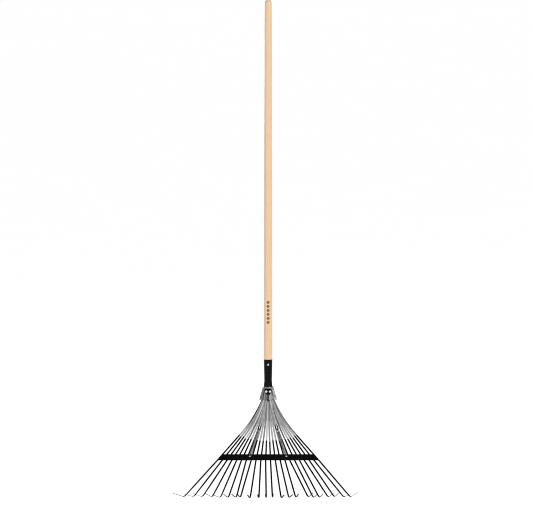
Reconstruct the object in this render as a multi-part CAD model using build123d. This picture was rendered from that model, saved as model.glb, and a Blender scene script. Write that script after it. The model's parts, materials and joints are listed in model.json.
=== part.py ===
from build123d import *
import math
import os

# A leaf rake: tapered wooden handle, black steel socket, galvanised head clamp and 22 flat spring tines
# tied together by a crossbar, which two coil springs pull towards a wire brace.
# Millimetres, +Z up along the handle, hooks towards +Y, origin on the handle's axis at the grip's middle.
# "height" is measured up from the lowest point of the hooks. Everything below the socket's neck lies in the
# fan's plane, which leans towards +Y. There, x is sideways, "down" runs along the tines from the top edge of
# the head clamp, and "front" is square to the plane, towards -Y.

# Overall sizes
TOTAL_HEIGHT = 1551
GRIP_HEIGHT = 1386
CLAMP_HEIGHT = 356
FAN_LEAN = 12

# Handle
GRIP_LENGTH = 160
GRIP_RADIUS = 11.6
HANDLE_TOP_RADIUS = 11.1
HANDLE_MID_RADIUS = 12.5
HANDLE_LOW_RADIUS = 13.1
HANDLE_MID_HEIGHT = 936
HANDLE_END_HEIGHT = 375.5
TENON_GAP = 0.05

# Socket
SOCKET_TOP_HEIGHT = 439
SOCKET_NECK_HEIGHT = 374
SOCKET_WALL = 1.1
SOCKET_LIP_RADIUS = 13.6
SOCKET_TOP_RADIUS = 13.2
SOCKET_NECK_RADIUS = 11.9
TONGUE_HALF_WIDTH = 13
TONGUE_HALF_DEPTH = 5.2
TONGUE_END = 24
NAIL_HEIGHT = 424
NAIL_HEAD_RADIUS = 3
NAIL_SHANK_RADIUS = 1.3
NAIL_DEPTH = 15
DENT_HEIGHTS = (413, 401)
DENT_DEPTH = 0.5
DENT_RADIUS = 5
DENT_ANGLE = 15
SEAM_WIDTH = 0.45
SEAM_DEPTH = 0.35

# Head clamp
CLAMP_LENGTH = 41.5
CLAMP_TOP_HALF = 14.2
CLAMP_MOUTH_HALF = 25.7
CLAMP_INSIDE_HALF = 5.3
CLAMP_SHOULDER = 5
SHEET = 1.0
SHEET_GAP = 0.05
WINDOW_TOP_HALF = 9.5
WINDOW_TOP_DOWN = 5.6
WINDOW_WIDE_HALF = 12.4
WINDOW_WIDE_DOWN = 15
WINDOW_LOW_HALF = 4.5
WINDOW_LOW_DOWN = 26
WINDOW_CORNER = 2
SLOT_WIDTH = 4.5

# Rivets through the tongue
RIVET_SPREAD = 6
RIVET_DOWN = 14.5
RIVET_SHANK_RADIUS = 2.2
RIVET_HEAD_RADIUS = 4.1
RIVET_HEAD_HEIGHT = 2.2

# Tines
TINES = 22
LAYERS = 4
LAYER_ANGLE = 0.8
STRIP_WIDTH = 5.0
STRIP_THICKNESS = 1.2
ROOT_DOWN = 35
MOUTH_HALF_SPREAD = 16.5
ROOT_SLOPE = 0.42
FAN_SLOPE = 0.848
BEND_TANGENT = 61
BLADE_END_DOWN = 243
TWIST_START_DOWN = 305
HOOK_DOWN = 352.5
HOOK_LENGTH = 42
OUTER_HOOK_LENGTH = 53
HOOK_RADIUS = 12
# How the tines stand after use, from left to right: how far each hook is to the right of its even place,
# and how many degrees the hook is turned to the right.
TINE_SETS = (-3, 2, 5, 11, 12, 12, 12, 1, 6, 8, 6, 1, 3, 2, -1, 12, 4, -2, 1, -4, 1, -3)
HOOK_TURNS = (-42, -46, -40, -30, -34, -20, -20, -14, -11, -5, -2, 2, 12, 16, 11, 18, 16, 16, 22, 18, 28, 27)

# Crossbar
CROSS_DOWN = 230.3
CROSS_HEIGHT = 19.2
CROSS_HALF_SPREAD = 149.2
CROSS_END_MARGIN = -0.6
CROSS_GAP = 0.82
CROSS_SHEET = 1.0

# Brace and springs
YOKE_RADIUS = 1.5
YOKE_SLOPE = 0.10
YOKE_START_FRONT = 7.5
YOKE_GAP = 0.15
YOKE_LEG = [(12.0, 34), (12.6, 56), (15.2, 80), (19.8, 105)]
YOKE_LEG_END = (24.0, 132)
YOKE_HOOK_RADIUS = 3.5
YOKE_HOOK_LEAN = 20
YOKE_HOOK_TAIL = 12
SPRING_WIRE_RADIUS = 0.9
SPRING_COIL_RADIUS = 3.3
SPRING_EYE_RADIUS = 3.6
SPRING_PITCH = 3.5
SPRING_TURNS = 23
SPRING_COIL_START = 8.5
SPRING_EYE_GAP = 0.3
SPRING_ANCHOR_FRONT = 6
SPRING_ANCHOR_DOWN = 227
SPRING_ANCHOR_SPREAD = CROSS_HALF_SPREAD * 8 / (TINES - 1)
SPRING_HOLE_RADIUS = 2.2


def level(height):
    """The z of a height above the hooks' lowest point."""
    return height - GRIP_HEIGHT


LEAN = math.radians(FAN_LEAN)
FAN = Plane(
    origin=(0, 0, level(CLAMP_HEIGHT)),
    x_dir=(1, 0, 0),
    z_dir=(0, -math.cos(LEAN), -math.sin(LEAN)),
)


def placed(shape):
    """A shape drawn in the fan's plane, put where it belongs on the rake."""
    return FAN.location * shape


def plate(points, low, high):
    """A flat piece from its outline, between two distances in front of the fan's plane."""
    outline = make_face(Polyline(*points, close=True))
    return Pos(0, 0, low) * extrude(outline, high - low)


def dome(radius, height):
    """A rivet head: a cap of a sphere standing on z = 0."""
    ball = (radius**2 + height**2) / (2 * height)
    above = Pos(0, 0, height) * Box(4 * radius, 4 * radius, 2 * height)
    return Pos(0, 0, height - ball) * Sphere(ball) & above


def handle():
    """Turned handle with a rounded top and a tenon that fills the socket."""
    grip_low = -GRIP_LENGTH / 2
    grip_high = GRIP_LENGTH / 2
    top = level(TOTAL_HEIGHT)
    mouth = level(SOCKET_TOP_HEIGHT)
    neck = level(SOCKET_NECK_HEIGHT)
    tenon_top = SOCKET_TOP_RADIUS - SOCKET_WALL - TENON_GAP
    tenon_low = SOCKET_NECK_RADIUS - SOCKET_WALL - TENON_GAP
    side = Polyline(
        (0, level(HANDLE_END_HEIGHT)),
        (tenon_low - 3, level(HANDLE_END_HEIGHT)),
        (tenon_low, neck + 4),
        (tenon_top, mouth + TENON_GAP),
        (HANDLE_LOW_RADIUS - 0.3, mouth + TENON_GAP),
        (HANDLE_LOW_RADIUS, mouth + 1.5),
        (HANDLE_MID_RADIUS, level(HANDLE_MID_HEIGHT)),
        (GRIP_RADIUS, grip_low),
        (GRIP_RADIUS, grip_high),
        (HANDLE_TOP_RADIUS, top - 9),
    )
    crown = Spline(
        (HANDLE_TOP_RADIUS, top - 9),
        (HANDLE_TOP_RADIUS * 0.86, top - 2.6),
        (0, top),
        tangents=[(0, 1), (-1, 0)],
    )
    axis_line = Line((0, top), (0, level(HANDLE_END_HEIGHT)))
    half = make_face(side + crown + axis_line)
    turned = revolve(Plane.XZ * half, Axis.Z)
    return turned - nail_shank(0.05)


def socket_radius(height):
    """Outside radius of the socket's tapered part."""
    rise = (height - SOCKET_NECK_HEIGHT) / (SOCKET_TOP_HEIGHT - SOCKET_NECK_HEIGHT)
    return SOCKET_NECK_RADIUS + (SOCKET_TOP_RADIUS - SOCKET_NECK_RADIUS) * rise


def nail_frame():
    """Where the nail's head sits on the socket, with its z axis pointing outwards."""
    seat = socket_radius(NAIL_HEIGHT) + 0.1
    return Plane(origin=(0, -seat, level(NAIL_HEIGHT)), x_dir=(1, 0, 0), z_dir=(0, -1, 0))


def nail_shank(gap):
    """The nail's shank, pointing into the wood, thicker by a gap when it is used to cut its hole."""
    length = NAIL_DEPTH + gap
    shank = Pos(0, 0, -length / 2 + 0.1) * Cylinder(NAIL_SHANK_RADIUS + gap, length)
    return nail_frame().location * shank


def socket_nail():
    """Round-headed nail that pins the handle in its socket."""
    return nail_frame().location * dome(NAIL_HEAD_RADIUS, 1.5) + nail_shank(0)


def socket_half(shrink):
    """Half of the socket's round part, seen from the side, thinner by a wall when it is the hollow."""
    top = level(SOCKET_TOP_HEIGHT)
    neck = level(SOCKET_NECK_HEIGHT)
    lip = SOCKET_LIP_RADIUS if shrink == 0 else SOCKET_TOP_RADIUS
    return make_face(
        Polyline(
            (0, neck),
            (SOCKET_NECK_RADIUS - shrink, neck),
            (SOCKET_TOP_RADIUS - shrink, top - 2.4),
            (lip - shrink, top - 1.2),
            (lip - shrink, top),
            (0, top),
            close=True,
        )
    )


def socket_body(shrink):
    """Round socket whose lower end is pressed flat into a tongue that follows the fan's lean."""
    round_part = revolve(Plane.XZ * socket_half(shrink), Axis.Z)
    neck_circle = Pos(0, 0, level(SOCKET_NECK_HEIGHT)) * Circle(SOCKET_NECK_RADIUS - shrink)
    flat = Ellipse(TONGUE_HALF_WIDTH - shrink, TONGUE_HALF_DEPTH - shrink)
    flat_top = placed(Pos(0, 2, 0) * (Plane.XZ * flat))
    pressed = loft([neck_circle.face(), flat_top.face()])
    tongue = placed(Pos(0, 2, 0) * (Plane.XZ * extrude(flat, TONGUE_END + 2)))
    return round_part + pressed + tongue


def socket_marks():
    """Two punch marks that swage the socket onto the wood, and the seam of the rolled sheet."""
    marks = Part()
    for height in DENT_HEIGHTS:
        reach = socket_radius(height) + DENT_RADIUS - DENT_DEPTH
        marks += Rot(0, 0, DENT_ANGLE) * Pos(0, -reach, level(height)) * Sphere(DENT_RADIUS)
    length = DENT_HEIGHTS[1] - SOCKET_NECK_HEIGHT - 5
    middle = SOCKET_NECK_HEIGHT + length / 2 + 1
    taper = math.atan((SOCKET_TOP_RADIUS - SOCKET_NECK_RADIUS) / (SOCKET_TOP_HEIGHT - SOCKET_NECK_HEIGHT))
    groove = Rot(math.degrees(taper), 0, 0) * Box(SEAM_WIDTH, 2 * SEAM_DEPTH, length)
    return marks + Rot(0, 0, DENT_ANGLE) * Pos(0, -socket_radius(middle), level(middle)) * groove


def socket():
    """Black steel socket: the handle goes in at the top, the tongue goes into the head clamp."""
    hollow = socket_body(SOCKET_WALL)
    solid = socket_body(0) - hollow - socket_marks() - nail_shank(0.05)
    return solid - rivet_shanks(0.05)


def rivet_spots():
    return [Pos(side * RIVET_SPREAD, -RIVET_DOWN, 0) for side in (-1, 1)]


def rivet_shanks(gap):
    """The shanks of the head rivets, thicker by a gap when they cut their holes."""
    bars = Part()
    for spot in rivet_spots():
        bars += spot * Cylinder(RIVET_SHANK_RADIUS + gap, 40)
    return placed(bars)


def head_rivets():
    """Two button-headed rivets: the brace wire runs round them, between their heads and the tongue."""
    front = YOKE_START_FRONT + YOKE_RADIUS + 0.6
    back = -(CLAMP_INSIDE_HALF + SHEET_GAP + SHEET)
    rivets = Part()
    for spot in rivet_spots():
        shank = Pos(0, 0, (front + back) / 2) * Cylinder(RIVET_SHANK_RADIUS, front - back)
        head = Pos(0, 0, front) * dome(RIVET_HEAD_RADIUS, RIVET_HEAD_HEIGHT)
        tail = Pos(0, 0, back) * (Rot(180, 0, 0) * dome(RIVET_HEAD_RADIUS, 1.4))
        rivets += spot * (shank + head + tail)
    return placed(rivets)


def clamp_outline(grow, above=0.0, below=0.0):
    """The clamp's outline, wider by grow on each side, and longer at its top and mouth."""
    slope = (CLAMP_MOUTH_HALF - CLAMP_TOP_HALF) / CLAMP_LENGTH
    top = CLAMP_TOP_HALF + grow - slope * above
    mouth = CLAMP_MOUTH_HALF + grow + slope * below
    return [(-top, above), (top, above), (mouth, -CLAMP_LENGTH - below), (-mouth, -CLAMP_LENGTH - below)]


def clamp_window():
    """The cutter for the window: wide round the rivets, drawn in below them towards the slot."""
    outline = [
        (-WINDOW_TOP_HALF, -WINDOW_TOP_DOWN),
        (WINDOW_TOP_HALF, -WINDOW_TOP_DOWN),
        (WINDOW_WIDE_HALF, -WINDOW_WIDE_DOWN),
        (WINDOW_LOW_HALF, -WINDOW_LOW_DOWN),
        (-WINDOW_LOW_HALF, -WINDOW_LOW_DOWN),
        (-WINDOW_WIDE_HALF, -WINDOW_WIDE_DOWN),
    ]
    cutter = plate(outline, CLAMP_INSIDE_HALF - 1, CLAMP_INSIDE_HALF + 4)
    return fillet(cutter.edges().filter_by(Axis.Z), WINDOW_CORNER)


def clamp_front():
    """Front half of the clamp: a pan with a window for the rivets and a slot down to its mouth."""
    depth = CLAMP_INSIDE_HALF
    pan = plate(clamp_outline(0), -depth, depth + SHEET)
    corners = pan.edges().filter_by(Axis.Z).group_by(Axis.Y)[-1]
    pan = fillet(corners, CLAMP_SHOULDER)
    face_rim = pan.faces().sort_by(Axis.Z)[-1].edges().group_by(Axis.Y)[1:]
    pan = fillet([edge for group in face_rim for edge in group], 0.9)
    hollow = plate(clamp_outline(-SHEET, -SHEET, 1), -depth - 1, depth)
    inside = hollow.edges().filter_by(Axis.Z).group_by(Axis.Y)[-1]
    hollow = fillet(inside, CLAMP_SHOULDER - SHEET)
    neck = Ellipse(TONGUE_HALF_WIDTH + 0.15, TONGUE_HALF_DEPTH + 0.05)
    neck_hole = Plane.XZ * extrude(neck, 4, both=True)
    slot_length = CLAMP_LENGTH - WINDOW_LOW_DOWN + 6
    slot = Pos(0, -WINDOW_LOW_DOWN + 3 - slot_length / 2, depth) * Box(SLOT_WIDTH, slot_length, 6)
    return placed(pan - hollow - neck_hole - clamp_window() - slot)


def clamp_back():
    """Back half of the clamp, with its sides folded round the front half and onto its face."""
    inner = CLAMP_INSIDE_HALF + SHEET_GAP
    outer = inner + SHEET
    face = CLAMP_INSIDE_HALF + SHEET + SHEET_GAP
    shell = plate(clamp_outline(SHEET + SHEET_GAP), -outer, face + SHEET)
    shoulders = shell.edges().filter_by(Axis.Z).group_by(Axis.Y)[-1]
    shell = fillet(shoulders, CLAMP_SHOULDER + SHEET)
    rim = shell.faces().sort_by(Axis.Z)[-1].edges().group_by(Axis.Y)[1:]
    shell = fillet([edge for group in rim for edge in group], 0.9)
    hollow = plate(clamp_outline(SHEET_GAP, 0, 1), -inner, face)
    hollow = fillet(hollow.edges().filter_by(Axis.Z).group_by(Axis.Y)[-1], CLAMP_SHOULDER)
    top_half = CLAMP_TOP_HALF - 3.2
    mouth_half = CLAMP_MOUTH_HALF - 9
    mouth = -CLAMP_LENGTH - 1
    opening = [(-top_half, 1), (top_half, 1), (mouth_half, mouth), (-mouth_half, mouth)]
    shell = shell - hollow - plate(opening, 0, face + 3)
    return placed(shell) - rivet_shanks(0.05)


def share(index):
    """Where a tine stands across the fan, from -1 on the left to 1 on the right."""
    return (2 * index - TINES + 1) / (TINES - 1)


def tine_line(t):
    """The tine's course in the fan's plane: where its two straight lines meet, and their slopes."""
    low_slope = FAN_SLOPE * t
    top_slope = ROOT_SLOPE * t
    low_start = CROSS_HALF_SPREAD * t - low_slope * CROSS_DOWN
    top_start = MOUTH_HALF_SPREAD * t - top_slope * CLAMP_LENGTH
    corner_down = (top_start - low_start) / (low_slope - top_slope)
    return corner_down, top_start, top_slope, low_start, low_slope


def tine_blade(t):
    """The flat part of a tine, from its root in the clamp to just below the crossbar."""
    corner_down, top_start, top_slope, low_start, low_slope = tine_line(t)
    top_angle = math.atan(top_slope)
    low_angle = math.atan(low_slope)
    corner = Vector(top_start + top_slope * corner_down, -corner_down)
    root = Vector(top_start + top_slope * ROOT_DOWN, -ROOT_DOWN)
    end = Vector(low_start + low_slope * BLADE_END_DOWN, -BLADE_END_DOWN)
    bend_start = corner - Vector(math.sin(top_angle), -math.cos(top_angle)) * BEND_TANGENT
    bend_end = corner + Vector(math.sin(low_angle), -math.cos(low_angle)) * BEND_TANGENT
    radius = BEND_TANGENT / math.tan(abs(low_angle - top_angle) / 2)
    toward = math.copysign(1, t)
    centre = bend_start + Vector(math.cos(top_angle), math.sin(top_angle)) * (radius * toward)
    edges = []
    for side in (-1, 1):
        across_top = Vector(math.cos(top_angle), math.sin(top_angle)) * (side * STRIP_WIDTH / 2)
        across_low = Vector(math.cos(low_angle), math.sin(low_angle)) * (side * STRIP_WIDTH / 2)
        middle_angle = (top_angle + low_angle) / 2
        reach = radius * toward - side * STRIP_WIDTH / 2
        middle = centre - Vector(math.cos(middle_angle), math.sin(middle_angle)) * reach
        edges.append(Line(root + across_top, bend_start + across_top))
        edges.append(ThreePointArc(bend_start + across_top, middle, bend_end + across_low))
        edges.append(Line(bend_end + across_low, end + across_low))
    across_root = Vector(math.cos(top_angle), math.sin(top_angle)) * (STRIP_WIDTH / 2)
    across_end = Vector(math.cos(low_angle), math.sin(low_angle)) * (STRIP_WIDTH / 2)
    edges.append(Line(root - across_root, root + across_root))
    edges.append(Line(end - across_end, end + across_end))
    outline = make_face(Wire(edges))
    return Pos(0, 0, -STRIP_THICKNESS / 2) * extrude(outline, STRIP_THICKNESS)


def strip_section(place, wide, along):
    """The strip's section at a place, with its width along one direction and its run along another."""
    return Plane(origin=place, x_dir=wide, z_dir=along) * Rectangle(STRIP_WIDTH, STRIP_THICKNESS)


def tine_shank(index):
    """The strip from below the crossbar to its hook, twisted towards the hook's bend over its last part."""
    _, _, _, low_start, low_slope = tine_line(share(index))
    start = Vector(low_start + low_slope * BLADE_END_DOWN, -BLADE_END_DOWN, 0)
    end = Vector(low_start + low_slope * HOOK_DOWN + TINE_SETS[index], -HOOK_DOWN, 0)
    along = (end - start).normalized()
    turn = math.radians(HOOK_TURNS[index])
    hook = Vector(math.sin(turn), 0, -math.cos(turn))
    bend_axis = along.cross(hook).normalized()
    flat_axis = along.cross(Vector(0, 0, -1))
    blade_angle = math.atan(low_slope)
    blade_along = Vector(math.sin(blade_angle), -math.cos(blade_angle), 0)
    blade_wide = Vector(math.cos(blade_angle), math.sin(blade_angle), 0)
    middle = start + (end - start) * ((TWIST_START_DOWN - BLADE_END_DOWN) / (HOOK_DOWN - BLADE_END_DOWN))
    first = strip_section(start, blade_wide, blade_along)
    second = strip_section(middle, flat_axis, along)
    last = strip_section(end, bend_axis, along)
    straight = loft([first.face(), second.face()], ruled=True)
    twisted = loft([second.face(), last.face()], ruled=True)
    return straight + twisted, end, along, hook


def tine_hook(index, start, along, hook):
    """The bent end of a tine. The outermost hooks are longer."""
    bend_axis = along.cross(hook).normalized()
    turn = along.get_angle(hook)
    plane = Plane(origin=start, x_dir=along, z_dir=bend_axis)
    tangent = HOOK_RADIUS * math.tan(math.radians(turn) / 2)
    length = OUTER_HOOK_LENGTH if index in (0, TINES - 1) else HOOK_LENGTH
    bend = CenterArc((0, HOOK_RADIUS), HOOK_RADIUS, -90, turn)
    tip = bend @ 1 + (bend % 1) * (length - tangent)
    path = bend + Line(bend @ 1, tip)
    profile = plane.location * (Plane.YZ * Rectangle(STRIP_THICKNESS, STRIP_WIDTH))
    return sweep(profile, plane.location * path)


def tine(index):
    """One spring tine: a flat strip that fans out, passes through the crossbar and ends in a hook."""
    shank, start, along, hook = tine_shank(index)
    strip = tine_blade(share(index)) + shank + tine_hook(index, start, along, hook)
    layer = index % LAYERS - (LAYERS - 1) / 2
    pivot = Axis((0, -CROSS_DOWN, 0), (1, 0, 0))
    return placed(strip.rotate(pivot, layer * LAYER_ANGLE))


def crossbar(front):
    """One of the two flat bars that hold the tines apart, dimpled at each weld and nicked between tines."""
    high = CROSS_DOWN - CROSS_HEIGHT / 2
    low = CROSS_DOWN + CROSS_HEIGHT / 2
    edge = STRIP_WIDTH / 2 / math.cos(math.atan(FAN_SLOPE)) + CROSS_END_MARGIN
    top_half = CROSS_HALF_SPREAD + FAN_SLOPE * (high - CROSS_DOWN) + edge
    low_half = CROSS_HALF_SPREAD + FAN_SLOPE * (low - CROSS_DOWN) + edge
    points = [(-top_half, -high), (top_half, -high), (low_half, -low), (-low_half, -low)]
    bar = plate(points, CROSS_GAP, CROSS_GAP + CROSS_SHEET)
    cuts = Part()
    for index in range(TINES):
        ball = Sphere(5)
        cuts += Pos(CROSS_HALF_SPREAD * share(index), -CROSS_DOWN, CROSS_GAP + CROSS_SHEET + 4.6) * ball
    for index in range(TINES - 1):
        between = (share(index) + share(index + 1)) / 2
        x = (CROSS_HALF_SPREAD + FAN_SLOPE * (low - CROSS_DOWN)) * between
        cuts += Pos(x, -low - 5.2, CROSS_GAP + CROSS_SHEET / 2) * Cylinder(6, 4)
    for side in (-1, 1):
        spot = Pos(side * SPRING_ANCHOR_SPREAD, -SPRING_ANCHOR_DOWN, CROSS_GAP + CROSS_SHEET / 2)
        cuts += spot * Cylinder(SPRING_HOLE_RADIUS, 4)
    bar = bar - cuts
    if not front:
        bar = mirror(bar, Plane.XY)
    return placed(bar)


def yoke_frame():
    """The brace wire's own flat plane, which leaves the fan's plane as it goes down."""
    crown = RIVET_DOWN - RIVET_SHANK_RADIUS - YOKE_RADIUS - YOKE_GAP
    return Plane(origin=(0, -crown, YOKE_START_FRONT), x_dir=(1, 0, 0), z_dir=(0, YOKE_SLOPE, 1)), crown


def yoke_hook(side):
    """One leg's hook: its start, the bend's middle, its lowest point, its tail and the leg's run."""
    _, crown = yoke_frame()
    lean = math.radians(YOKE_HOOK_LEAN)
    along = Vector(side * math.sin(lean), -math.cos(lean))
    across = Vector(side * math.cos(lean), math.sin(lean))
    start = Vector(side * YOKE_LEG_END[0], crown - YOKE_LEG_END[1])
    centre = start + across * YOKE_HOOK_RADIUS
    return start, centre, centre + along * YOKE_HOOK_RADIUS, centre + across * YOKE_HOOK_RADIUS, along


def yoke():
    """Brace wire: looped over the two rivets, with a leg down each side that ends in a hook."""
    frame, crown = yoke_frame()
    turn = RIVET_SHANK_RADIUS + YOKE_RADIUS + YOKE_GAP
    edges = [Line((-RIVET_SPREAD, 0), (RIVET_SPREAD, 0))]
    middle_drop = -turn * (1 - math.cos(math.pi / 4))
    for side in (-1, 1):
        shoulder = Vector(side * (RIVET_SPREAD + turn), -turn)
        middle = Vector(side * (RIVET_SPREAD + turn * math.sin(math.pi / 4)), middle_drop)
        start, centre, low, back, along = yoke_hook(side)
        leg = [Vector(side * x, crown - down) for x, down in YOKE_LEG]
        edges.append(ThreePointArc((side * RIVET_SPREAD, 0), middle, shoulder))
        edges.append(Spline(shoulder, *leg, start, tangents=[(0, -1), tuple(along)[:2]]))
        edges.append(ThreePointArc(start, low, back))
        edges.append(Line(back, back - along * YOKE_HOOK_TAIL))
    path = frame.location * Wire(edges)
    first = Plane(origin=path @ 0, z_dir=path % 0)
    return placed(sweep(first * Circle(YOKE_RADIUS), path=path))


def spring_frame(side):
    """A spring's own axes: z from the yoke's hook to the crossbar's hole, x in the plane of its eye."""
    frame, _ = yoke_frame()
    low = frame.from_local_coords(yoke_hook(side)[2])
    anchor = Vector(side * SPRING_ANCHOR_SPREAD, -SPRING_ANCHOR_DOWN, SPRING_ANCHOR_FRONT)
    axis = (anchor - low).normalized()
    lean = math.radians(YOKE_HOOK_LEAN)
    across = Vector(math.cos(lean), side * math.sin(lean), 0)
    return Plane(origin=low, x_dir=across.cross(axis), z_dir=axis)


def round_wire(path, radius):
    return sweep(Plane(origin=path @ 0, z_dir=path % 0) * Circle(radius), path=path)


def spring(side):
    """Extension spring: an eye round the yoke's hook, the coil, and a hook through the crossbar."""
    frame = spring_frame(side)
    height = SPRING_TURNS * SPRING_PITCH
    helix = Pos(0, 0, SPRING_COIL_START) * Helix(SPRING_PITCH, height, SPRING_COIL_RADIUS)
    section = Plane(origin=helix @ 0, z_dir=helix % 0) * Circle(SPRING_WIRE_RADIUS)
    coil = sweep(section, path=helix, is_frenet=True)
    eye_drop = SPRING_EYE_RADIUS - SPRING_WIRE_RADIUS - YOKE_RADIUS - SPRING_EYE_GAP
    eye_points = [helix @ 0]
    for angle in (60, 0, -60, -120, -180, -240):
        turn = math.radians(angle)
        height_here = eye_drop + SPRING_EYE_RADIUS * math.sin(turn)
        eye_points.append(Vector(SPRING_EYE_RADIUS * math.cos(turn), 0, height_here))
    eye = round_wire(Spline(*eye_points, tangents=[-(helix % 0), (0.7, 0, 0.7)]), SPRING_WIRE_RADIUS)
    hole = Vector(side * SPRING_ANCHOR_SPREAD, -SPRING_ANCHOR_DOWN, 0)
    ends = [(0, 1.5, 5.2), (0, 0, 1.6), (0, 0, -1.6), (0, 1.2, -4.4), (0, 4.0, -5.4)]
    tail_points = [frame.to_local_coords(hole + Vector(*offset)) for offset in ends]
    lead = Vector(0.5, 2.4, SPRING_COIL_START + height + 3)
    tail_line = Spline(helix @ 1, lead, *tail_points, tangents=[helix % 1, (0, 1, 0)])
    tail = round_wire(tail_line, SPRING_WIRE_RADIUS)
    return placed(frame.location * (coil + eye + tail))


def write(shape, node):
    solids = [s for s in shape.solids() if s.volume > 0.01]
    made = solids[0] if len(solids) == 1 else Compound(children=solids)
    export_step(made, f"parts/{node}.step")


def main():
    os.makedirs("parts", exist_ok=True)
    write(handle(), "handle")
    write(socket(), "socket")
    write(socket_nail(), "socket_nail")
    write(head_rivets(), "head_rivets")
    write(clamp_front(), "clamp_front")
    write(clamp_back(), "clamp_back")
    write(crossbar(True), "crossbar_front")
    write(crossbar(False), "crossbar_back")
    write(yoke(), "brace_yoke")
    write(spring(-1), "brace_spring_left")
    write(spring(1), "brace_spring_right")
    for index in range(TINES):
        write(tine(index), f"tine_{index + 1:02d}")


main()
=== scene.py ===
import json
import math

import bpy
import numpy as np
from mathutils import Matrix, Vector


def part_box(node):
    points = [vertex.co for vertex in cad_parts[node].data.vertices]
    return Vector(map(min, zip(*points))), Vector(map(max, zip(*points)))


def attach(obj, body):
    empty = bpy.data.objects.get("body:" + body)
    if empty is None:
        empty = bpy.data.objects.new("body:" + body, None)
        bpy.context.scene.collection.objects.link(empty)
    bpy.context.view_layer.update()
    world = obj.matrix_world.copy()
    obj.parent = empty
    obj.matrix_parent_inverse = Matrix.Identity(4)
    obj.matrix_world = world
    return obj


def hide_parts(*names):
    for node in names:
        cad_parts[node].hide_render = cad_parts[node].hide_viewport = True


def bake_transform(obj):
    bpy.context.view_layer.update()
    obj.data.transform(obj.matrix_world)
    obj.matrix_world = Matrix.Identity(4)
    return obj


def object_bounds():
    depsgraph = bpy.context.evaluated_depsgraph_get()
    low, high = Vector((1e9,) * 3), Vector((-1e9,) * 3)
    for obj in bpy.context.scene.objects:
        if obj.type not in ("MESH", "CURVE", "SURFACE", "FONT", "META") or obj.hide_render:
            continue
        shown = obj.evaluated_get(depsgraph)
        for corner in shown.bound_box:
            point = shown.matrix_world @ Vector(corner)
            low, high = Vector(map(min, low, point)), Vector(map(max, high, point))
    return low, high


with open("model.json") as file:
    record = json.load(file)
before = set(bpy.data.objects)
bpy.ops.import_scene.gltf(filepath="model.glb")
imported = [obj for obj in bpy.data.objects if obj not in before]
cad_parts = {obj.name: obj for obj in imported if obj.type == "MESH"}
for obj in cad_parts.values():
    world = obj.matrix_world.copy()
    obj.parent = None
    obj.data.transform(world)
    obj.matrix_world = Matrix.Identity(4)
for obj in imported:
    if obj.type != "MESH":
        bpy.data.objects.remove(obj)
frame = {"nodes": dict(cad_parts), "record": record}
cad_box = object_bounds()

MM = 0.001


def joint_named(name):
    return next(joint for joint in frame["record"]["behaviour"]["joints"] if joint["name"] == name)


# Driving sizes, in metres, the same as the CAD part's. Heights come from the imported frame.
FAN_LEAN = math.radians(12)
HEAD_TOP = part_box("socket")[1][2]
HANDLE_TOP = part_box("handle")[1][2]
GROUND = cad_box[0][2]
CLAMP_LENGTH = 0.0415
MOUTH = Vector(joint_named("tine_flex")["pos_m"])
CLAMP_TOP = MOUTH + Vector((0, -math.sin(FAN_LEAN), math.cos(FAN_LEAN))) * CLAMP_LENGTH

GRIP_HALF = 0.080
GRIP_RADIUS = 0.0116
HANDLE_TOP_RADIUS = 0.0111
HANDLE_MID_RADIUS = 0.0125
HANDLE_LOW_RADIUS = 0.0131
HANDLE_MID_DROP = 0.450
HANDLE_ROUNDING = 0.009
HANDLE_CHAMFER = 0.0009
TENON_DEPTH = 0.012

SOCKET_LENGTH = 0.065
SOCKET_WALL = 0.0011
SOCKET_LIP_RADIUS = 0.0136
SOCKET_TOP_RADIUS = 0.0132
SOCKET_NECK_RADIUS = 0.0119
TONGUE_HALF_WIDTH = 0.013
TONGUE_HALF_DEPTH = 0.0052
TONGUE_END = 0.024
TONGUE_RISE = 0.002
LIP_STRAIGHT = 0.0010
LIP_FADE = 0.0014
SEAM_DEPTH = 0.00032
SEAM_ANGLE = math.radians(15)
NAIL_DROP = 0.015
DENT_DROPS = (0.026, 0.038)
DENT_RADIUS = 0.0022
DENT_DEPTH = 0.0006
NAIL_LENGTH = 0.0145
NAIL_RADIUS = 0.0013
NAIL_HEAD_RADIUS = 0.0030
NAIL_HEAD_HEIGHT = 0.0015

CLAMP_TOP_HALF = 0.0142
CLAMP_MOUTH_HALF = 0.0257
CLAMP_INSIDE = 0.0053
SHEET = 0.001
FLAP_WIDTH_TOP = 0.0032
FLAP_WIDTH_LOW = 0.009
# Width of the painted shade along the front of the clamp's folds.
FOLD_SHADE_WIDTH = 0.0012

RIVET_SPREAD = 0.006
RIVET_DOWN = 0.0145
RIVET_SHANK_RADIUS = 0.0022
RIVET_HEAD_RADIUS = 0.0041
RIVET_HEAD_HEIGHT = 0.0022
RIVET_TAIL_HEIGHT = 0.0014
RIVET_SHOULDER = 0.0006
RIVET_BACK_GAP = 0.00005
DOME_STEPS = 8

TINES = 22
LAYERS = 4
LAYER_ANGLE = math.radians(0.8)
STRIP_WIDTH = 0.005
STRIP_THICKNESS = 0.0012
ROOT_DOWN = 0.035
MOUTH_HALF_SPREAD = 0.0165
ROOT_SLOPE = 0.42
FAN_SLOPE = 0.848
BEND_TANGENT = 0.061
BLADE_END_DOWN = 0.243
TWIST_START_DOWN = 0.305
HOOK_DOWN = 0.3525
HOOK_LENGTH = 0.042
OUTER_HOOK_LENGTH = 0.053
HOOK_RADIUS = 0.012
TIP_BULGE = 0.0001
DIP_DOWN = 0.176
DIP_RISE = 0.019
DIP_WANDER = 0.0022
# Share of the steel's tone kept at a strip's edges: painted shade between the strips, together with darker
# sheared edges.
EDGE_SHADE_AND_OXIDE = 0.22
# How much further down the middle two strips stay in painted shade below the clamp's mouth.
MIDDLE_SHADE_DROP = 0.003
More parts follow.
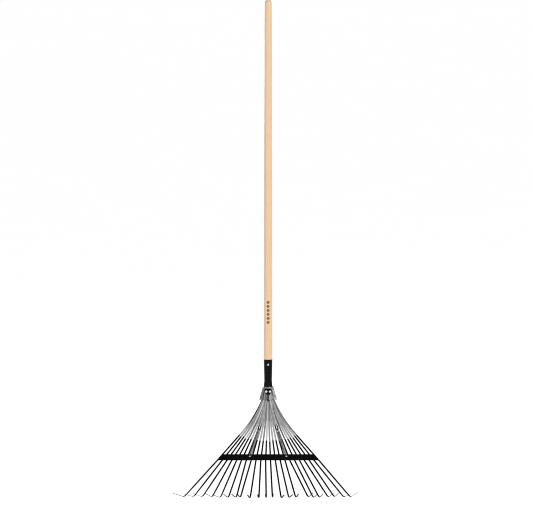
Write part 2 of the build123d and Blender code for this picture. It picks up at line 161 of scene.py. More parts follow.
# A ring of the hook counts as this far down, once it is this deep behind the strip.
HOOK_DOWNS = 0.36
HOOK_START_DEPTH = 0.004
# How far each hook is to the right of its even place, in millimetres.
TINE_SETS = (-3, 2, 5, 11, 12, 12, 12, 1, 6, 8, 6, 1, 3, 2, -1, 12, 4, -2, 1, -4, 1, -3)
# How far each hook is turned to the right, in degrees.
HOOK_TURNS = (-42, -46, -40, -30, -34, -20, -20, -14, -11, -5, -2, 2, 12, 16, 11, 18, 16, 16, 22, 18, 28, 27)

CROSS_DOWN = 0.2303
CROSS_HEIGHT = 0.0192
CROSS_HALF_SPREAD = 0.1492
CROSS_END_MARGIN = -0.0006
CROSS_GAP = 0.00082
CROSS_SHEET = 0.001
NICK_HALF_WIDTH = 0.0035
NICK_DEPTH = 0.0008
WELD_RADIUS = 0.0015
WELD_DEPTH = 0.0004
SWELL_WIDTH = 0.003
SWELL_HEIGHT = 0.00008
LIP_DEPTH = 0.00022
CROSS_COLUMNS = 640
CROSS_ROWS = 22

YOKE_RADIUS = 0.0015
YOKE_SLOPE = 0.10
YOKE_FRONT = 0.0075
YOKE_GAP = 0.00015
YOKE_LEG = [(0.0120, 0.034), (0.0126, 0.056), (0.0152, 0.080), (0.0198, 0.105)]
YOKE_LEG_END = (0.0240, 0.132)
YOKE_HOOK_RADIUS = 0.0035
YOKE_HOOK_LEAN = math.radians(20)
YOKE_HOOK_TAIL = 0.012

SPRING_WIRE_RADIUS = 0.0009
SPRING_COIL_RADIUS = 0.0033
SPRING_EYE_RADIUS = 0.0036
SPRING_PITCH = 0.0035
SPRING_TURNS = 23
SPRING_COIL_START = 0.0085
SPRING_ANCHOR_DOWN = 0.227
SPRING_ANCHOR_SPREAD = CROSS_HALF_SPREAD * 8 / (TINES - 1)
SPRING_ANCHOR_FRONT = 0.006
SPRING_HOLE_RADIUS = 0.0022
SPRING_EYE_GAP = 0.0003
END_BULGE = 0.6

FLOOR_HALF = 150
# Below the rest height of the hooks, which swing lower when the fan is flexed back.
FLOOR_DROP = 0.030
STAGE_GLOW = 0.88
ROOM_DARK = 0.22
ROOM_LIGHT = 0.46
KEY_POWER = 70
FILL_POWER = 50
TOP_POWER = 30
BACK_POWER = 60

PRINT_LOW = -0.837
PRINT_PITCH = 0.0124
PRINT_LEAVES = 6
PRINT_HALF_WIDTH = 0.0048

SIDE = Vector((1, 0, 0))
DOWN = Vector((0, math.sin(FAN_LEAN), -math.cos(FAN_LEAN)))
FRONT = Vector((0, -math.cos(FAN_LEAN), -math.sin(FAN_LEAN)))

NECK = HEAD_TOP - SOCKET_LENGTH
TONGUE_START = CLAMP_TOP + DOWN * -TONGUE_RISE
PRESS_LENGTH = abs(NECK - TONGUE_START.z)


def in_fan(x, down, front=0.0):
    """A point given in the fan's plane, in the row frame."""
    return CLAMP_TOP + SIDE * x + DOWN * down + FRONT * front


def turned(x, down, front=0.0):
    """A direction given in the fan's plane, in the row frame."""
    return SIDE * x + DOWN * down + FRONT * front


# ---------------------------------------------------------------- mesh building


def make_object(name, points, faces, uvs, material, sharp=40):
    """A mesh object with smooth shading that stays crisp at edges sharper than an angle."""
    mesh = bpy.data.meshes.new(name)
    mesh.from_pydata([tuple(p) for p in points], [], faces)
    layer = mesh.uv_layers.new(name="UVMap")
    flat = [uv for face in uvs for uv in face]
    layer.data.foreach_set("uv", [value for uv in flat for value in uv])
    mesh.materials.append(material)
    mesh.shade_smooth()
    mesh.set_sharp_from_angle(angle=math.radians(sharp))
    mesh.validate()
    obj = bpy.data.objects.new(name, mesh)
    bpy.context.collection.objects.link(obj)
    return obj


def rings_mesh(rings, closed_ring=True, caps=True, closed_path=False):
    """Points, faces and UVs of a skin through rings of equally many points. UVs are in metres."""
    count = len(rings[0])
    points = [p for ring in rings for p in ring]
    along = [0.0]
    for before, after in zip(rings, rings[1:]):
        step = sum(((Vector(b) - Vector(a)).length for a, b in zip(before, after))) / count
        along.append(along[-1] + step)
    around = [0.0]
    middle = rings[len(rings) // 2]
    for i in range(count):
        around.append(around[-1] + (Vector(middle[(i + 1) % count]) - Vector(middle[i])).length)
    faces = []
    uvs = []
    turns = len(rings) if closed_path else len(rings) - 1
    for j in range(turns):
        k = (j + 1) % len(rings)
        v0 = along[j]
        v1 = along[k] if k else along[j] + 0.002
        for i in range(count if closed_ring else count - 1):
            n = (i + 1) % count
            faces.append((j * count + i, j * count + n, k * count + n, k * count + i))
            uvs.append(((around[i], v0), (around[i + 1], v0), (around[i + 1], v1), (around[i], v1)))
    if caps and not closed_path:
        for j, order in ((0, -1), (len(rings) - 1, 1)):
            ring = [j * count + i for i in range(count)][::order]
            faces.append(tuple(ring))
            uvs.append(tuple((around[i % count], along[j]) for i in range(count))[::order])
    return points, faces, uvs


def smooth_path(points, per_span, start=None, end=None):
    """Points along a smooth curve through the given ones, with optional end directions."""
    pts = [Vector(p) for p in points]
    tangents = []
    for i, p in enumerate(pts):
        if i == 0:
            t = start if start is not None else pts[1] - pts[0]
            t = t.normalized() * (pts[1] - pts[0]).length
        elif i == len(pts) - 1:
            t = end if end is not None else pts[-1] - pts[-2]
            t = t.normalized() * (pts[-1] - pts[-2]).length
        else:
            a = pts[i] - pts[i - 1]
            b = pts[i + 1] - pts[i]
            t = (a / a.length + b / b.length) * 0.5 * min(a.length, b.length)
        tangents.append(t)
    out = []
    for i in range(len(pts) - 1):
        span = (pts[i + 1] - pts[i]).length
        m0 = tangents[i].normalized() * span
        m1 = tangents[i + 1].normalized() * span
        for k in range(per_span):
            s = k / per_span
            h00 = 2 * s**3 - 3 * s**2 + 1
            h10 = s**3 - 2 * s**2 + s
            h01 = -2 * s**3 + 3 * s**2
            h11 = s**3 - s**2
            out.append(pts[i] * h00 + m0 * h10 + pts[i + 1] * h01 + m1 * h11)
    out.append(pts[-1])
    return out


def tube_rings(path, radius, sides):
    """Rings of a round wire along a path, with its ends rounded over."""
    tangents = []
    for i in range(len(path)):
        a = path[max(i - 1, 0)]
        b = path[min(i + 1, len(path) - 1)]
        tangents.append((b - a).normalized())
    normal = tangents[0].orthogonal().normalized()
    rings = []
    for i, p in enumerate(path):
        t = tangents[i]
        normal = (normal - t * normal.dot(t)).normalized()
        other = t.cross(normal)
        ring = []
        for k in range(sides):
            a = 2 * math.pi * k / sides
            ring.append(p + normal * (radius * math.cos(a)) + other * (radius * math.sin(a)))
        rings.append(ring)
    first, last = [], []
    for share in (0.35, 0.7, 0.9):
        pull = math.sqrt(1 - share**2)
        push = radius * END_BULGE * share
        first.insert(0, [path[0] + (q - path[0]) * pull - tangents[0] * push for q in rings[0]])
        last.append([path[-1] + (q - path[-1]) * pull + tangents[-1] * push for q in rings[-1]])
    return first + rings + last


def lathe_rings(profile, origin, axis, sides):
    """Rings from (radius, distance along the axis) pairs."""
    u = axis.orthogonal().normalized()
    w = axis.cross(u).normalized()
    rings = []
    for radius, along in profile:
        ring = []
        for k in range(sides):
            a = 2 * math.pi * k / sides
            ring.append(origin + axis * along + u * (radius * math.cos(a)) + w * (radius * math.sin(a)))
        rings.append(ring)
    return rings


# ---------------------------------------------------------------- materials


class Nodes:
    """Short names for building a material's node tree."""

    def __init__(self, name):
        self.material = bpy.data.materials.new(name)
        self.material.use_nodes = True
        self.tree = self.material.node_tree
        self.shader = self.tree.nodes["Principled BSDF"]

    def add(self, kind, **settings):
        node = self.tree.nodes.new(kind)
        for key, value in settings.items():
            setattr(node, key, value)
        return node

    def link(self, a, b):
        self.tree.links.new(a, b)

    def coords(self, scale, source="Object", offset=(0, 0, 0)):
        where = self.add("ShaderNodeTexCoord")
        mapping = self.add("ShaderNodeMapping")
        mapping.inputs["Scale"].default_value = scale
        mapping.inputs["Location"].default_value = offset
        self.link(where.outputs[source], mapping.inputs["Vector"])
        return mapping.outputs["Vector"]

    def noise(self, vector, scale=1.0, detail=4.0, roughness=0.55):
        node = self.add("ShaderNodeTexNoise")
        node.inputs["Scale"].default_value = scale
        node.inputs["Detail"].default_value = detail
        node.inputs["Roughness"].default_value = roughness
        self.link(vector, node.inputs["Vector"])
        return node.outputs["Fac"]

    def ramp(self, value, stops):
        """A colour ramp; a stop is (place, grey or colour)."""
        node = self.add("ShaderNodeValToRGB")
        elements = node.color_ramp.elements
        while len(elements) < len(stops):
            elements.new(0.5)
        for element, (place, colour) in zip(elements, stops):
            element.position = place
            rgb = (colour,) * 3 if isinstance(colour, (int, float)) else colour
            element.color = (*rgb, 1)
        self.link(value, node.inputs["Fac"])
        return node.outputs["Color"]

    def mix(self, factor, a, b, blend="MIX"):
        node = self.add("ShaderNodeMix", data_type="RGBA", blend_type=blend)
        for socket, value in ((node.inputs["Factor"], factor), (node.inputs[6], a), (node.inputs[7], b)):
            if isinstance(value, bpy.types.NodeSocket):
                self.link(value, socket)
            elif isinstance(value, (int, float)):
                socket.default_value = value
            else:
                socket.default_value = (*value, 1)
        return node.outputs[2]

    def math(self, operation, a, b=0.0, clamp=False):
        node = self.add("ShaderNodeMath", operation=operation, use_clamp=clamp)
        for socket, value in ((node.inputs[0], a), (node.inputs[1], b)):
            if isinstance(value, bpy.types.NodeSocket):
                self.link(value, socket)
            else:
                socket.default_value = value
        return node.outputs[0]

    def bump(self, height, strength, distance):
        node = self.add("ShaderNodeBump")
        node.inputs["Strength"].default_value = strength
        node.inputs["Distance"].default_value = distance
        self.link(height, node.inputs["Height"])
        self.link(node.outputs["Normal"], self.shader.inputs["Normal"])

    def set(self, **values):
        for key, value in values.items():
            self.shader.inputs[key.replace("_", " ")].default_value = value


def printed_leaves(n, x, y, z, under):
    """A plain row of small dark printed leaf shapes up the front of the handle."""
    step = n.math("DIVIDE", n.math("SUBTRACT", z, PRINT_LOW), PRINT_PITCH)
    inside = n.math("MULTIPLY", n.math("GREATER_THAN", step, 0.0), n.math("LESS_THAN", step, PRINT_LEAVES))
    local = n.math("MULTIPLY", n.math("SUBTRACT", n.math("FRACT", step), 0.5), 2.3)
    width = n.math("SUBTRACT", 1.0, n.math("MULTIPLY", local, local))
    reach = n.math("DIVIDE", n.math("ABSOLUTE", x), PRINT_HALF_WIDTH)
    shape = n.math("LESS_THAN", reach, width)
    vein = n.math("GREATER_THAN", reach, 0.09)
    front = n.math("LESS_THAN", y, 0.0)
    mask = n.math("MULTIPLY", n.math("MULTIPLY", shape, vein), n.math("MULTIPLY", inside, front))
    worn = n.noise(n.coords((900, 900, 400)), 1.0, 3.0, 0.6)
    ink = n.math("MULTIPLY", mask, n.ramp(worn, [(0.30, 0.55), (0.45, 0.95)]))
    return n.mix(ink, under, (0.035, 0.020, 0.014))


def wood_material():
    """Pale lacquered hardwood: growth bands, long fibres and short dark pores, all running up the handle, and
    painted shade that darkens it towards the top.
    """
    n = Nodes("handle_wood")
    wander = n.noise(n.coords((18, 18, 2.2)), 1.0, 2.0)
    where = n.coords((1, 1, 0.10))
    shift = n.add("ShaderNodeVectorMath", operation="SCALE")
    n.link(wander, shift.inputs[0])
    shift.inputs["Scale"].default_value = 0.02
    moved = n.add("ShaderNodeVectorMath", operation="ADD")
    n.link(where, moved.inputs[0])
    n.link(shift.outputs[0], moved.inputs[1])
    bands = n.add("ShaderNodeTexWave", wave_type="BANDS", bands_direction="X", wave_profile="SIN")
    bands.inputs["Scale"].default_value = 62
    bands.inputs["Distortion"].default_value = 5.0
    bands.inputs["Detail"].default_value = 3.0
    bands.inputs["Detail Scale"].default_value = 1.4
    n.link(moved.outputs[0], bands.inputs["Vector"])
    fibres = n.noise(n.coords((620, 620, 9)), 1.0, 5.0, 0.6)
    pores = n.noise(n.coords((1500, 1500, 42)), 1.0, 2.0, 0.5)
    patches = n.noise(n.coords((30, 30, 5)), 1.0, 3.0, 0.5)
    pale = (0.83, 0.575, 0.345)
    warm = (0.70, 0.435, 0.225)
    base = n.mix(n.ramp(bands.outputs["Fac"], [(0.25, 0.0), (0.9, 0.55)]), pale, warm)
    streaked = n.mix(n.ramp(fibres, [(0.35, 0.0), (0.7, 0.5)]), base, (0.90, 0.66, 0.43))
    dark = n.ramp(pores, [(0.60, 0.0), (0.74, 0.55)])
    pored = n.mix(dark, streaked, (0.47, 0.26, 0.12))
    toned = n.mix(n.ramp(patches, [(0.3, 0.0), (0.75, 0.28)]), pored, (0.80, 0.56, 0.33))
    place = n.add("ShaderNodeSeparateXYZ")
    n.link(n.coords((1, 1, 1)), place.inputs[0])
    x, y, z = place.outputs
    # Painted shade: the wood's colour darkens towards the handle's top, standing in for the duller light
    # there.
    painted_top_shade = n.math("MULTIPLY", n.math("SUBTRACT", z, HEAD_TOP), 0.9, clamp=True)
    toned = n.mix(n.math("MULTIPLY", painted_top_shade, 0.30), toned, (0.62, 0.43, 0.27))
    n.link(printed_leaves(n, x, y, z, toned), n.shader.inputs["Base Color"])
    n.link(n.ramp(fibres, [(0.2, 0.30), (0.8, 0.44)]), n.shader.inputs["Roughness"])
    n.set(Coat_Weight=0.35, Coat_Roughness=0.22, IOR=1.48)
    n.bump(n.mix(0.5, fibres, pores), 0.25, 0.0003)
    return n.material


def wear_mask(n, low, high, rough):
    """Where paint has rubbed off: the piece's own wear value, broken up by noise."""
    value = n.add("ShaderNodeAttribute", attribute_name="wear")
    chips = n.noise(n.coords((rough, rough, rough)), 1.0, 6.0, 0.65)
    total = n.math("ADD", value.outputs["Fac"], n.math("MULTIPLY", chips, 0.9))
    return n.ramp(total, [(low, 0.0), (high, 1.0)])


def black_paint(name, roughness, shine, warm=0.0):
    """Black enamel on steel with faint orange peel, dust, small scuffs and rubbed edges."""
    n = Nodes(name)
    peel = n.noise(n.coords((620, 620, 620)), 1.0, 3.0, 0.5)
    dust = n.noise(n.coords((95, 95, 60)), 1.0, 5.0, 0.6)
    scuffs = n.noise(n.coords((900, 900, 120)), 1.0, 3.0, 0.6)
    black = (0.0010 + warm, 0.0010 + warm * 0.4, 0.0011)
    grey = (0.004 + warm, 0.004 + warm * 0.5, 0.004)
    colour = n.mix(n.ramp(dust, [(0.42, 0.0), (0.80, 0.6)]), black, grey)
    bare = wear_mask(n, 0.93, 1.02, 700)
    colour = n.mix(bare, colour, (0.42, 0.42, 0.43))
    n.link(colour, n.shader.inputs["Base Color"])
    n.link(bare, n.shader.inputs["Metallic"])
    rough = n.mix(n.ramp(scuffs, [(0.4, 0.0), (0.75, 1.0)]), (roughness,) * 3, (roughness + 0.16,) * 3)
    n.link(rough, n.shader.inputs["Roughness"])
    n.set(Specular_IOR_Level=shine)
    n.bump(peel, 0.12, 0.0002)
    return n.material


def zinc_colour(n):
    """Hot-dip zinc, pale crystals with dull blotches: its colour, its roughness and the blotches."""
    where = n.coords((1, 1, 1))
    cells = n.add("ShaderNodeTexVoronoi", feature="F1")
    cells.inputs["Scale"].default_value = 260
    cells.inputs["Randomness"].default_value = 1.0
    warp = n.noise(where, 420, 2.0)
    pushed = n.add("ShaderNodeVectorMath", operation="MULTIPLY_ADD")
    n.link(warp, pushed.inputs[0])
    pushed.inputs[1].default_value = (0.003, 0.003, 0.003)
    n.link(where, pushed.inputs[2])
    n.link(pushed.outputs[0], cells.inputs["Vector"])
    grain = n.add("ShaderNodeSeparateColor")
    n.link(cells.outputs["Color"], grain.inputs["Color"])
    blotch = n.noise(where, 90, 5.0, 0.6)
    crystals = n.ramp(grain.outputs["Red"], [(0.0, (0.16, 0.163, 0.168)), (1.0, (0.46, 0.465, 0.47))])
    colour = n.mix(n.ramp(blotch, [(0.35, 0.0), (0.8, 0.6)]), crystals, (0.13, 0.13, 0.135))
    rough = n.mix(grain.outputs["Green"], (0.28,) * 3, (0.46,) * 3)
    return colour, rough, blotch


def fan_places(n):
    """The shaded point's x, down and front in the fan's plane."""
    place = n.coords((1, 1, 1), offset=tuple(-value for value in CLAMP_TOP))
    out = []
    for direction in (SIDE, DOWN, FRONT):
        dot = n.add("ShaderNodeVectorMath", operation="DOT_PRODUCT")
        n.link(place, dot.inputs[0])
        dot.inputs[1].default_value = direction
        out.append(dot.outputs["Value"])
    return out


def zinc_material():
    """Galvanised sheet of the head clamp, with painted light and shade: darker on the left, lighter on the
    right, and painted shade in its folds, its window and its mouth.
    """
    n = Nodes("clamp_zinc")
    colour, rough, blotch = zinc_colour(n)
    x, down, front = fan_places(n)
    aside = n.math("ABSOLUTE", x)
    fold_slope = (CLAMP_MOUTH_HALF - FLAP_WIDTH_LOW - CLAMP_TOP_HALF + FLAP_WIDTH_TOP) / CLAMP_LENGTH
    fold = n.math("ADD", n.math("MULTIPLY", down, fold_slope), CLAMP_TOP_HALF - FLAP_WIDTH_TOP)
    away = n.math("ABSOLUTE", n.math("SUBTRACT", aside, fold))
    in_front = n.math("GREATER_THAN", front, 0.0)
    # Painted shade: the front of the sheet turns near black along its folds, where the crease lies in shade.
    fold_shade = n.ramp(n.math("MULTIPLY", away, 1 / FOLD_SHADE_WIDTH), [(0.3, 1.0), (1.0, 0.0)])
    painted_fold_shade = n.math("MULTIPLY", fold_shade, in_front)
    colour = n.mix(n.math("MULTIPLY", painted_fold_shade, 0.95), colour, (0.010, 0.010, 0.010))
    # Painted shade: the inner faces between the two halves, within the top's width, are made near black, as
    # shade inside the window and the mouth.
    inside = n.math("LESS_THAN", n.math("ABSOLUTE", front), CLAMP_INSIDE + SHEET / 2)
    painted_inner_shade = n.math("MULTIPLY", inside, n.math("LESS_THAN", aside, CLAMP_TOP_HALF - SHEET))
    colour = n.mix(n.math("MULTIPLY", painted_inner_shade, 0.93), colour, (0.012, 0.012, 0.012))
    # Painted light and shade: the sheet is darker on its left and lighter on its right, as the light falls
    # from the right.
    share = n.math("ADD", n.math("MULTIPLY", x, 1 / (2 * CLAMP_MOUTH_HALF)), 0.5)
    painted_side_light = n.ramp(share, [(0.35, 0.55), (0.62, 1.25)])
    colour = n.mix(1.0, colour, painted_side_light, "MULTIPLY")
    n.link(colour, n.shader.inputs["Base Color"])
    n.link(rough, n.shader.inputs["Roughness"])
    n.set(Metallic=1.0)
    n.bump(blotch, 0.2, 0.0004)
    return n.material


def tine_material():
    """Zinc-plated spring strip whose lower part was dipped in black paint, rubbed bright at the tips, its
    steel scaled by painted light and shade.
    """
    n = Nodes("tine_steel")
    depth = n.add("ShaderNodeAttribute", attribute_name="below_dip")
    ragged = n.noise(n.coords((900, 160, 1), "UV"), 1.0, 4.0, 0.6)
    edge = n.math("ADD", depth.outputs["Fac"], n.math("MULTIPLY", n.math("SUBTRACT", ragged, 0.5), 0.008))
    painted = n.math("MULTIPLY", edge, 450.0, clamp=True)
    drawn = n.noise(n.coords((2600, 22, 1), "UV"), 1.0, 4.0, 0.6)
    stain = n.noise(n.coords((260, 60, 1), "UV"), 1.0, 5.0, 0.6)
    steel = n.ramp(drawn, [(0.25, (0.42, 0.42, 0.42)), (0.8, (0.66, 0.66, 0.655))])
    steel = n.mix(n.ramp(stain, [(0.4, 0.0), (0.8, 0.6)]), steel, (0.28, 0.28, 0.28))
    # Painted light and shade: the steel colour is multiplied by the strip's per-ring tone from tine_shades
    # and by its darker edges.
    painted_light_tone = n.add("ShaderNodeAttribute", attribute_name="painted_light_tone")
    steel = n.mix(1.0, steel, painted_light_tone.outputs["Color"], "MULTIPLY")
    dust = n.noise(n.coords((300, 90, 1), "UV"), 1.0, 4.0, 0.6)
    paint = n.ramp(dust, [(0.3, (0.0015, 0.0015, 0.0016)), (0.85, (0.006, 0.0058, 0.0057))])
    bare = wear_mask(n, 0.95, 1.06, 800)
    paint = n.mix(bare, paint, (0.36, 0.35, 0.34))
    n.link(n.mix(painted, steel, paint), n.shader.inputs["Base Color"])
    unpainted = n.math("SUBTRACT", 1.0, painted)
    n.link(n.math("MAXIMUM", unpainted, bare), n.shader.inputs["Metallic"])
    steel_rough = n.ramp(drawn, [(0.2, 0.30), (0.8, 0.46)])
    paint_rough = n.ramp(dust, [(0.3, 0.38), (0.8, 0.55)])
    rough = n.mix(painted, steel_rough, paint_rough)
    n.link(rough, n.shader.inputs["Roughness"])
    n.set(Specular_IOR_Level=0.05)
    n.bump(n.mix(painted, drawn, dust), 0.12, 0.0002)
    return n.material


def wire_material(name, low, high, rough_low, rough_high):
    """Drawn steel wire: fine lines along it, grime, and black where the piece's own attribute says so."""
    n = Nodes(name)
    lines = n.noise(n.coords((2400, 40, 1), "UV"), 1.0, 4.0, 0.6)
    grime = n.noise(n.coords((160, 160, 160)), 1.0, 5.0, 0.6)
    colour = n.ramp(lines, [(0.25, low), (0.8, high)])
    colour = n.mix(n.ramp(grime, [(0.45, 0.0), (0.85, 0.7)]), colour, tuple(c * 0.35 for c in low))
    blackened = n.add("ShaderNodeAttribute", attribute_name="blackened")
    colour = n.mix(blackened.outputs["Fac"], colour, (0.006, 0.006, 0.006))
    n.link(colour, n.shader.inputs["Base Color"])
    n.link(n.ramp(grime, [(0.3, rough_low), (0.8, rough_high)]), n.shader.inputs["Roughness"])
    n.set(Metallic=1.0)
    n.bump(lines, 0.15, 0.0001)
    return n.material


def rivet_material():
    """Bright plated steel heads with fine pitting."""
    n = Nodes("rivet_steel")
    pits = n.noise(n.coords((1100, 1100, 1100)), 1.0, 5.0, 0.6)
    dull = n.noise(n.coords((330, 330, 330)), 1.0, 3.0, 0.6)
    colour = n.ramp(dull, [(0.3, (0.55, 0.55, 0.56)), (0.75, (0.80, 0.80, 0.81))])
    n.link(colour, n.shader.inputs["Base Color"])
    n.link(n.ramp(pits, [(0.3, 0.16), (0.8, 0.34)]), n.shader.inputs["Roughness"])
    n.set(Metallic=1.0)
    n.bump(pits, 0.15, 0.0002)
    return n.material


WOOD = wood_material()
SOCKET_BLACK = black_paint("socket_black", 0.13, 0.09)
CROSS_BLACK = black_paint("crossbar_black", 0.42, 0.04, warm=0.001)
ZINC = zinc_material()
TINE_STEEL = tine_material()
BRACE_WIRE = wire_material("brace_wire", (0.20, 0.20, 0.205), (0.62, 0.62, 0.62), 0.24, 0.40)
SPRING_STEEL = wire_material("spring_steel", (0.07, 0.07, 0.073), (0.27, 0.27, 0.275), 0.24, 0.42)
RIVET_STEEL = rivet_material()


def finish_piece(obj, nodes, body=None):
    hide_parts(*nodes)
    if body:
        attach(obj, body)
    return obj


def set_attribute(obj, name, values):
    layer = obj.data.attributes.new(name, "FLOAT", "POINT")
    layer.data.foreach_set("value", [float(v) for v in values])


# ---------------------------------------------------------------- handle and socket


def smooth_step(x):
    x = min(max(x, 0.0), 1.0)
    return x * x * (3 - 2 * x)


def handle_radius(z):
    """The handle's outside radius: straight at the grip, thinner to its top, thicker to the socket."""
    stops = [
        (HEAD_TOP, HANDLE_LOW_RADIUS),
        (-HANDLE_MID_DROP, HANDLE_MID_RADIUS),
        (-GRIP_HALF, GRIP_RADIUS),
        (GRIP_HALF, GRIP_RADIUS),
        (HANDLE_TOP - HANDLE_ROUNDING, HANDLE_TOP_RADIUS),
    ]
    for (z0, r0), (z1, r1) in zip(stops, stops[1:]):
        if z <= z1:
            return r0 + (r1 - r0) * (z - z0) / (z1 - z0)
    return HANDLE_TOP_RADIUS


def build_handle():
    low = HEAD_TOP - TENON_DEPTH
    start = HEAD_TOP + HANDLE_CHAMFER
    end = HANDLE_TOP - HANDLE_ROUNDING
    profile = [(0.0004, low), (0.0110, low), (0.0118, HEAD_TOP - 0.0002)]
    profile += [(HANDLE_LOW_RADIUS - 0.0006, HEAD_TOP + 0.0001), (HANDLE_LOW_RADIUS, start)]
    rows = 90
    for i in range(1, rows + 1):
        z = start + (end - start) * i / rows
        profile.append((handle_radius(z), z))
    for i in range(1, 13):
        a = math.pi / 2 * i / 12
        r = HANDLE_TOP_RADIUS * max(math.cos(a), 0.0) ** 0.55
        profile.append((max(r, 0.0003), end + HANDLE_ROUNDING * math.sin(a)))
    rings = lathe_rings(profile, Vector((0, 0, 0)), Vector((0, 0, 1)), 72)
    obj = make_object("handle_turned", *rings_mesh(rings), WOOD, 50)
    finish_piece(obj, ["handle"], "head")


def socket_section(s, inner):
    """The section s metres from the socket's mouth: centre, half width, half depth and front direction."""
    wall = SOCKET_WALL if inner else 0.0
    if s <= SOCKET_LENGTH:
        share = s / SOCKET_LENGTH
        r = SOCKET_TOP_RADIUS + (SOCKET_NECK_RADIUS - SOCKET_TOP_RADIUS) * share
        if s < LIP_STRAIGHT + LIP_FADE and not inner:
            r += (SOCKET_LIP_RADIUS - SOCKET_TOP_RADIUS) * (1 - smooth_step((s - LIP_STRAIGHT) / LIP_FADE))
        return Vector((0, 0, HEAD_TOP - s)), r - wall, r - wall, Vector((0, -1, 0))
    if s <= SOCKET_LENGTH + PRESS_LENGTH:
        share = (s - SOCKET_LENGTH) / PRESS_LENGTH
        ease = smooth_step(share)
        centre = Vector((0, 0, NECK)).lerp(TONGUE_START, share)
        wide = SOCKET_NECK_RADIUS + (TONGUE_HALF_WIDTH - SOCKET_NECK_RADIUS) * ease
        deep = SOCKET_NECK_RADIUS + (TONGUE_HALF_DEPTH - SOCKET_NECK_RADIUS) * ease
        front = Vector((0, -1, 0)).lerp(FRONT, ease).normalized()
        return centre, wide - wall, deep - wall, front
    down = s - SOCKET_LENGTH - PRESS_LENGTH
    return TONGUE_START + DOWN * down, TONGUE_HALF_WIDTH - wall, TONGUE_HALF_DEPTH - wall, FRONT


def socket_ring(s, angles, inner):
    centre, wide, deep, front = socket_section(s, inner)
    ring = []
    for a in angles:
        sink = 0.0
        if not inner:
            off = (a - SEAM_ANGLE + math.pi) % (2 * math.pi) - math.pi
            if s > 0.004:
                fade = smooth_step((s - 0.036) / 0.006)
                sink += SEAM_DEPTH * fade * math.exp(-((off / 0.030) ** 2))
            for drop in DENT_DROPS:
                gap = math.hypot(s - drop, off * wide) / DENT_RADIUS
                sink += DENT_DEPTH * math.exp(-(gap**2))
        x = (wide - sink) * math.sin(a)
        y = (deep - sink) * math.cos(a)
        ring.append(centre + SIDE * x + front * y)
    return ring


def build_socket():
    near = [SEAM_ANGLE + math.radians(d) for d in (-9, -6, -4, -2.6, -1.6, -0.8, 0, 0.8, 1.6, 2.6, 4, 6, 9)]
    far = [SEAM_ANGLE + math.radians(d) for d in range(14, 350, 5)]
    angles = near + far
    full = SOCKET_LENGTH + PRESS_LENGTH + TONGUE_END + TONGUE_RISE
    steps = [0.0, 0.0004, 0.0010, 0.0014, 0.0018, 0.0022, 0.0028] + list(np.linspace(0.004, full, 84))
    outer = [socket_ring(s, angles, False) for s in steps]
    inner = [socket_ring(s, angles, True) for s in steps[::-1]]
    rings = outer + inner
    points, faces, uvs = rings_mesh(rings, caps=False, closed_path=True)
    obj = make_object("socket_pressed", points, faces, uvs, SOCKET_BLACK, 45)
    count = len(angles)
    wear = []
    for j in range(len(rings)):
        s = steps[j] if j < len(steps) else 1.0
        edge = 0.40 * math.exp(-((s / 0.0012) ** 2)) if j < len(steps) else 0.0
        for i in range(count):
            rub = 0.14 * math.exp(-(((angles[i] - SEAM_ANGLE) / 0.05) ** 2)) if s > 0.04 else 0.0
            wear.append(edge + rub)
    set_attribute(obj, "wear", wear)
    finish_piece(obj, ["socket"], "head")


def dome_profile(radius, height):
    """A round head's outline, from its rim to its middle."""
    ball = (radius**2 + height**2) / (2 * height)
    limit = math.asin(min(radius / ball, 1.0))
    if height > radius:
        limit = math.pi - limit
    out = []
    for i in range(DOME_STEPS + 1):
        a = limit * (1 - i / DOME_STEPS)
        out.append((max(ball * math.sin(a), 0.00005), ball * math.cos(a) - (ball - height)))
    return out


def build_nail():
    z = HEAD_TOP - NAIL_DROP
    share = NAIL_DROP / SOCKET_LENGTH
    seat = SOCKET_TOP_RADIUS + (SOCKET_NECK_RADIUS - SOCKET_TOP_RADIUS) * share + 0.0001
    origin = Vector((0, -seat, z))
    out = Vector((0, -1, 0))
    tip = [(0.00005, -NAIL_LENGTH), (0.0008, -NAIL_LENGTH + 0.002)]
    shank = [(NAIL_RADIUS, -0.010), (NAIL_RADIUS, -0.0002), (NAIL_HEAD_RADIUS - 0.0001, -0.0001)]
    rings = lathe_rings(tip + shank + dome_profile(NAIL_HEAD_RADIUS, NAIL_HEAD_HEIGHT), origin, out, 28)
    obj = make_object("socket_nail_head", *rings_mesh(rings), RIVET_STEEL, 40)
    finish_piece(obj, ["socket_nail"], "head")


def build_rivets():
    front = YOKE_FRONT + YOKE_RADIUS + RIVET_SHOULDER
    back = CLAMP_INSIDE + RIVET_BACK_GAP + SHEET
    points, faces, uvs = [], [], []
    for side in (-1, 1):
        origin = in_fan(side * RIVET_SPREAD, RIVET_DOWN)
        tail = [(r, -back - h) for r, h in dome_profile(RIVET_HEAD_RADIUS, RIVET_TAIL_HEIGHT)][::-1]
        head = [(r, front + h) for r, h in dome_profile(RIVET_HEAD_RADIUS, RIVET_HEAD_HEIGHT)]
        shank = [(RIVET_SHANK_RADIUS, -back), (RIVET_SHANK_RADIUS, front)]
        rings = lathe_rings(tail + shank + head, origin, FRONT, 32)
        p, f, u = rings_mesh(rings)
        faces += [tuple(i + len(points) for i in face) for face in f]
        points += p
        uvs += u
    obj = make_object("head_rivet_pair", points, faces, uvs, RIVET_STEEL, 40)
    finish_piece(obj, ["head_rivets"], "head")


# ---------------------------------------------------------------- tines


def strip_section():
    """Half a strip's outline and its mirror, in shares of half its width and half its thickness."""
    side = [(1.0, 0.25), (0.94, 0.62), (0.82, 0.84), (0.45, 0.96)]
    front = side + [(0.0, 1.0)] + [(-x, y) for x, y in side[::-1]]
    return front + [(-x, -y) for x, y in front]


STRIP_SECTION = strip_section()


